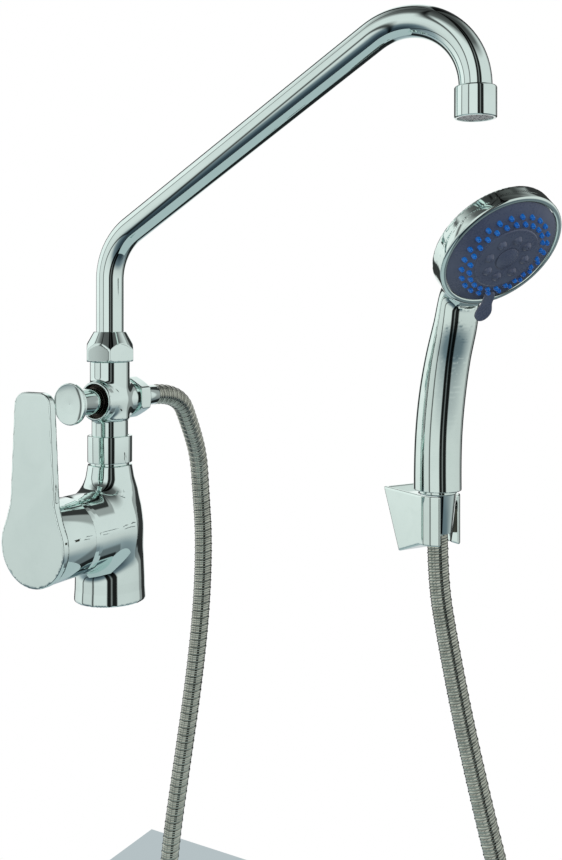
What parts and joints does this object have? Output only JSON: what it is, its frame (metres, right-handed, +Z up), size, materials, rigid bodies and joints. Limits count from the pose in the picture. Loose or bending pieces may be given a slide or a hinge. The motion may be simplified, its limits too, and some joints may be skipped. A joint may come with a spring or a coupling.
{
  "type": "mixer tap with hand shower",
  "caption": "Deck-mounted single-lever mixer tap with a swivel spout, a pull diverter and a hand shower on a flexible metal hose in its holder.",
  "frame": {"origin": "centre of the mixer's base seat on the deck, at its lower face", "axes": "+Z up along the column, +X towards the spout's outlet at rest, -Y towards the lever and the diverter knob, +Y along the hose branch"},
  "size_m": [0.3177, 0.219, 0.7893],
  "materials": {
    "chrome": "bright chrome plate on brass",
    "chrome_plastic": "bright chrome plate on moulded plastic",
    "hose_steel": "polished double-interlock steel strip",
    "brass": "turned brass",
    "spring_steel": "drawn stainless steel",
    "white_plastic": "moulded acetal",
    "ceramic": "lapped alumina",
    "black_rubber": "moulded rubber",
    "grey_plastic": "satin grey-blue plastic",
    "blue_rubber": "soft blue silicone"
  },
  "bodies": {
    "tap": {"mixer_body": "chrome", "base_seal": "black_rubber", "cartridge_seals": "black_rubber", "cartridge_base": "white_plastic", "fixed_ceramic_disc": "ceramic", "cartridge_housing": "white_plastic", "cartridge_nut": "brass", "dome_shroud": "chrome", "union_collar": "chrome", "union_washer": "black_rubber", "diverter_tee": "chrome", "diverter_bonnet": "brass", "diverter_spring": "spring_steel", "spout_cone_nut": "chrome", "hose_hex_nut": "chrome", "hose_tail": "chrome", "hose_tail_washer": "black_rubber", "shower_hose": "hose_steel", "holder_shell": "chrome_plastic", "holder_screws": "spring_steel"},
    "rotor": {"cartridge_rotor": "white_plastic", "stem_pivot_pin": "spring_steel"},
    "slider": {"sliding_ceramic_disc": "ceramic"},
    "lever": {"lever_handle": "chrome", "lever_stem": "brass", "lever_grub_screw": "spring_steel", "lever_plug": "chrome_plastic"},
    "diverter": {"diverter_knob": "chrome", "diverter_stem": "brass", "valve_seals": "black_rubber"},
    "spout": {"spout_tube": "chrome", "spout_bush": "white_plastic", "spout_o_rings": "black_rubber", "aerator_housing": "chrome", "aerator_insert": "white_plastic", "aerator_washer": "black_rubber"},
    "hose_end": {"hose_swivel": "brass"},
    "handset": {"hose_cone_nut": "chrome_plastic", "swivel_washer": "black_rubber", "handset_shell": "chrome_plastic", "head_trim_ring": "chrome_plastic", "port_plate": "white_plastic", "plate_seal": "black_rubber", "centre_screw": "spring_steel"},
    "selector": {"spray_face": "grey_plastic", "jet_mat": "blue_rubber", "centre_disc": "grey_plastic", "centre_jets": "grey_plastic", "centre_cap": "grey_plastic"}
  },
  "joints": [
    {"name": "spout_swivel", "type": "hinge", "parent": "tap", "child": "spout", "pos_m": [0, 0, 0.162], "axis": [0, 0, 1], "continuous": true},
    {"name": "lever_turn", "type": "hinge", "parent": "tap", "child": "rotor", "pos_m": [0, -0.036, 0.0482], "axis": [0, -1, 0], "range_deg": [-45, 45]},
    {"name": "lever_lift", "type": "hinge", "parent": "rotor", "child": "lever", "pos_m": [0, -0.036, 0.0482], "axis": [1, 0, 0], "range_deg": [0, 20]},
    {"name": "disc_slide", "type": "slide", "parent": "rotor", "child": "slider", "axis": [0, 0, 1], "range_m": [0, 0.0042]},
    {"name": "diverter_pull", "type": "slide", "parent": "tap", "child": "diverter", "axis": [0, -1, 0], "range_m": [0, 0.007], "stiffness_N_per_m": 150, "springref_m": -0.004, "deforming": ["diverter_spring"]},
    {"name": "handset_lift", "type": "slide", "parent": "tap", "child": "hose_end", "axis": [0, 0, 1], "range_m": [0, 0.022]},
    {"name": "handset_turn", "type": "hinge", "parent": "hose_end", "child": "handset", "pos_m": [0.1902, 0.0994, 0.06], "axis": [0, 0, 1], "range_deg": [-90, 90]},
    {"name": "spray_selector", "type": "hinge", "parent": "handset", "child": "selector", "pos_m": [0.24303, 0.0689, 0.2235], "axis": [0.6486, -0.3745, -0.6626], "range_deg": [-40, 40]}
  ],
  "couplings": [
    {"joint": "disc_slide", "follows": "lever_lift", "m_per_rad": 0.012}
  ]
}
